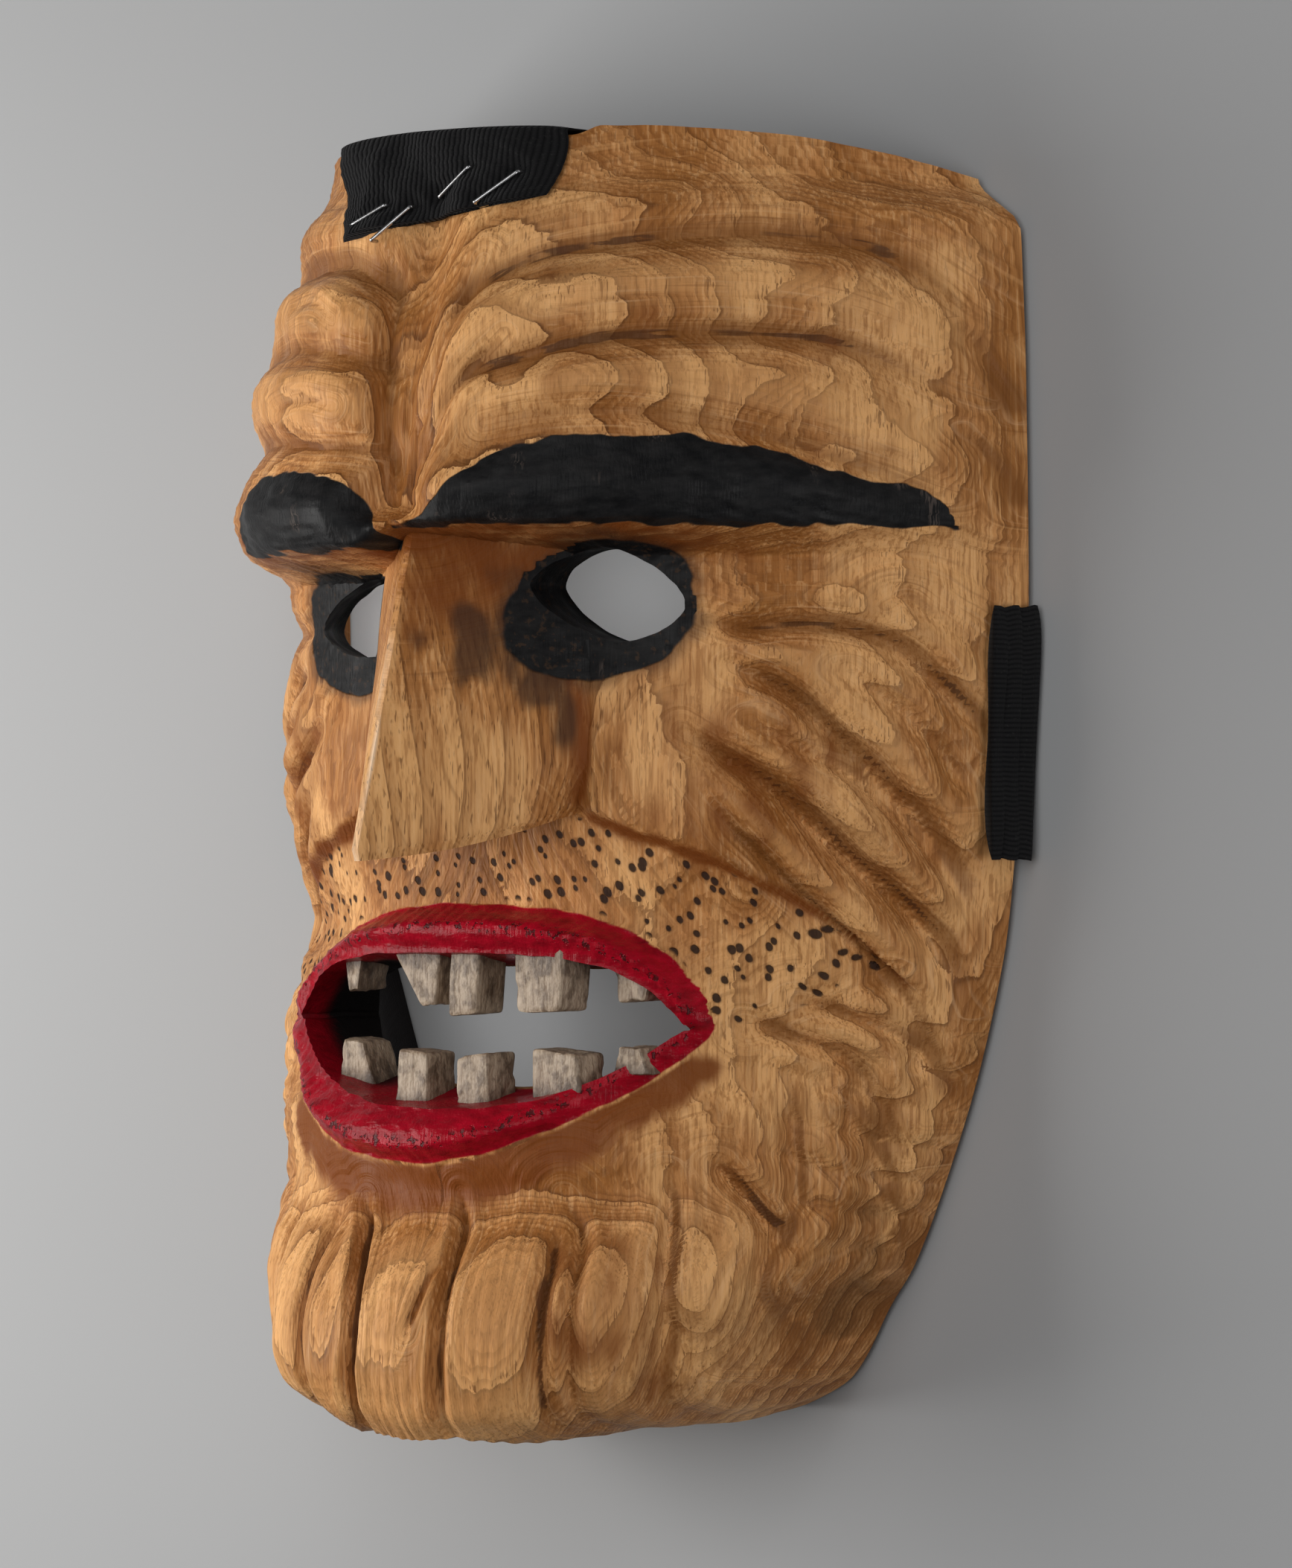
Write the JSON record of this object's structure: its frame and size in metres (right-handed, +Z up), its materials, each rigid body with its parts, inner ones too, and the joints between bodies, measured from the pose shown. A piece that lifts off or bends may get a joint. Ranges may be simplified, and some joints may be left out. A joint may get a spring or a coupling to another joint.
{
  "type": "portuguese carnival mask",
  "caption": "Carved wooden carnival mask with a heavy painted brow, open eyes, a red toothed mouth and an elastic head harness.",
  "frame": {"origin": "centre of the bounding box on the surface that the mask lies on", "axes": "+Z up and out of the face, +Y to the top of the forehead, +X to the right for someone who looks at the face"},
  "size_m": [0.2077, 0.293, 0.1206],
  "materials": {
    "carved_wood": "oiled chestnut, hand carved, with black, red and grey-beige paint",
    "elastic": "black ribbed woven elastic",
    "staple_steel": "bright wire"
  },
  "bodies": {
    "root": {"carved_mask": "carved_wood", "side_band": "elastic", "top_strap": "elastic", "staple_1": "staple_steel", "staple_2": "staple_steel", "staple_3": "staple_steel", "staple_4": "staple_steel"}
  },
  "joints": []
}
